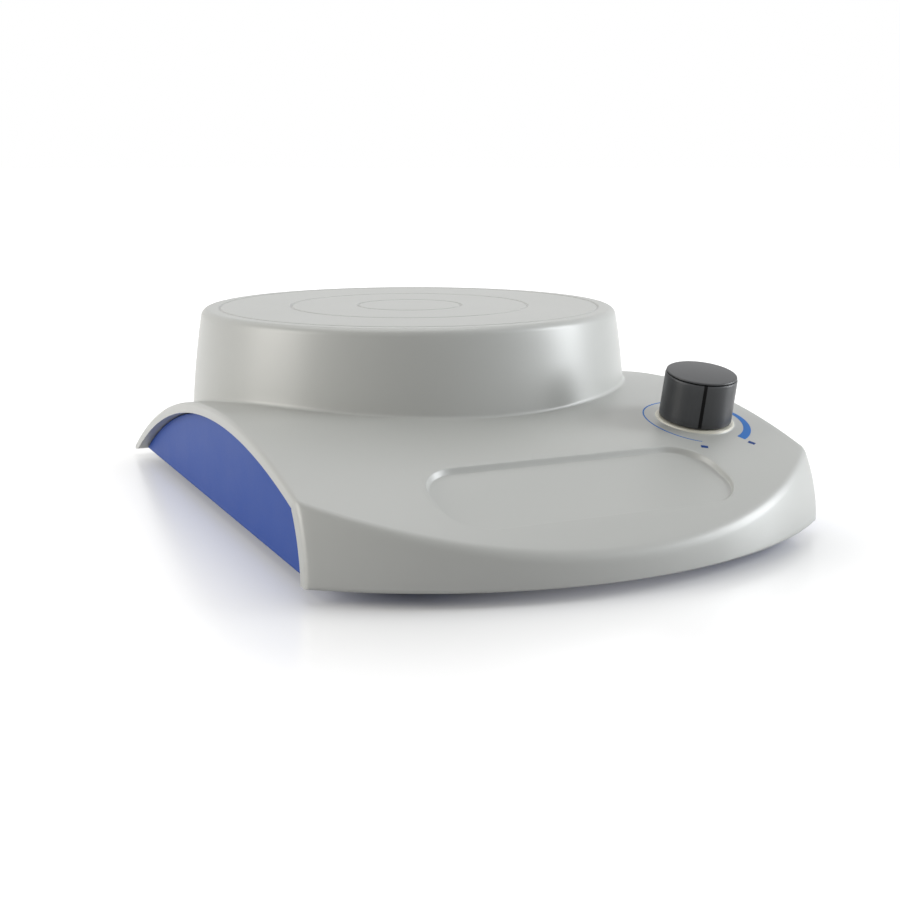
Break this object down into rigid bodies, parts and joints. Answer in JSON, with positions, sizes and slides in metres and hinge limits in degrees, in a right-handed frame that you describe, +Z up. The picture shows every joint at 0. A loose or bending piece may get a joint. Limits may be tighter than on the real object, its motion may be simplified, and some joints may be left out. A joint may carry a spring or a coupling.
{
  "type": "magnetic stirrer",
  "caption": "Compact magnetic stirrer: round plate with engraved rings on a saddle-shaped grey case, blue tray with side cheeks, tilted speed knob, motor-driven magnet carrier inside.",
  "frame": {"origin": "on the bench under the middle of the case's box", "axes": "+Z up, -Y towards the user (front edge, recess and knob), +X to the user's right"},
  "size_m": [0.145, 0.205, 0.0548],
  "materials": {
    "cover_plastic": "light warm-grey satin ABS with a fine moulded texture",
    "tray_plastic": "blue satin ABS",
    "foot_rubber": "matt black rubber",
    "knob_plastic": "charcoal satin plastic with a fine grain",
    "pointer_black": "black inlay",
    "screw_steel": "zinc-plated steel",
    "sheet_steel": "bright sheet steel",
    "shaft_steel": "ground steel",
    "hub_aluminium": "turned aluminium",
    "bush_bronze": "sintered bronze",
    "contact_brass": "brass",
    "magnet_ferrite": "ground dark ferrite",
    "winding_copper": "enamelled copper windings",
    "cage_nylon": "natural nylon",
    "connector_nylon": "white nylon",
    "board_laminate": "green laminate under solder resist",
    "black_plastic": "black moulded plastic",
    "capacitor_sleeve": "dark blue shrink sleeve",
    "sink_aluminium": "black anodised aluminium",
    "red_insulation": "red lead insulation",
    "black_insulation": "black lead insulation",
    "yellow_insulation": "yellow lead insulation"
  },
  "bodies": {
    "housing": {"top_cover": "cover_plastic", "base_tray": "tray_plastic", "rubber_feet": "foot_rubber", "case_screws": "screw_steel", "motor_can": "sheet_steel", "motor_end_cap": "black_plastic", "motor_terminals": "contact_brass", "field_magnets": "magnet_ferrite", "motor_bushes": "bush_bronze", "motor_bracket": "sheet_steel", "motor_screws": "screw_steel", "bracket_screws": "screw_steel", "control_board": "board_laminate", "board_screws": "screw_steel", "microcontroller": "black_plastic", "smoothing_capacitor": "capacitor_sleeve", "voltage_regulator": "black_plastic", "heat_sink": "sink_aluminium", "lead_connectors": "connector_nylon", "potentiometer": "sheet_steel", "potentiometer_washer": "screw_steel", "potentiometer_nut": "contact_brass", "power_inlet": "black_plastic", "inlet_pin": "contact_brass", "inlet_nut": "screw_steel", "motor_leads": "red_insulation", "inlet_leads": "black_insulation", "dial_leads": "yellow_insulation"},
    "knob": {"potentiometer_shaft": "shaft_steel", "speed_knob": "knob_plastic", "knob_cap": "knob_plastic", "knob_pointer": "pointer_black"},
    "rotor": {"armature": "winding_copper", "motor_shaft": "shaft_steel", "rotor_hub": "hub_aluminium", "grub_screw": "shaft_steel", "magnet_yoke": "sheet_steel", "magnet_cage": "cage_nylon", "drive_magnets": "magnet_ferrite", "cage_screws": "screw_steel"}
  },
  "joints": [
    {"name": "knob_turn", "type": "hinge", "parent": "housing", "child": "knob", "pos_m": [0.0514, -0.0492, 0.02832], "axis": [0, -0.1975, 0.9803], "range_deg": [-306, 0]},
    {"name": "rotor_spin", "type": "hinge", "parent": "housing", "child": "rotor", "pos_m": [0, 0.0317, 0.03], "axis": [0, 0, 1], "continuous": true}
  ]
}
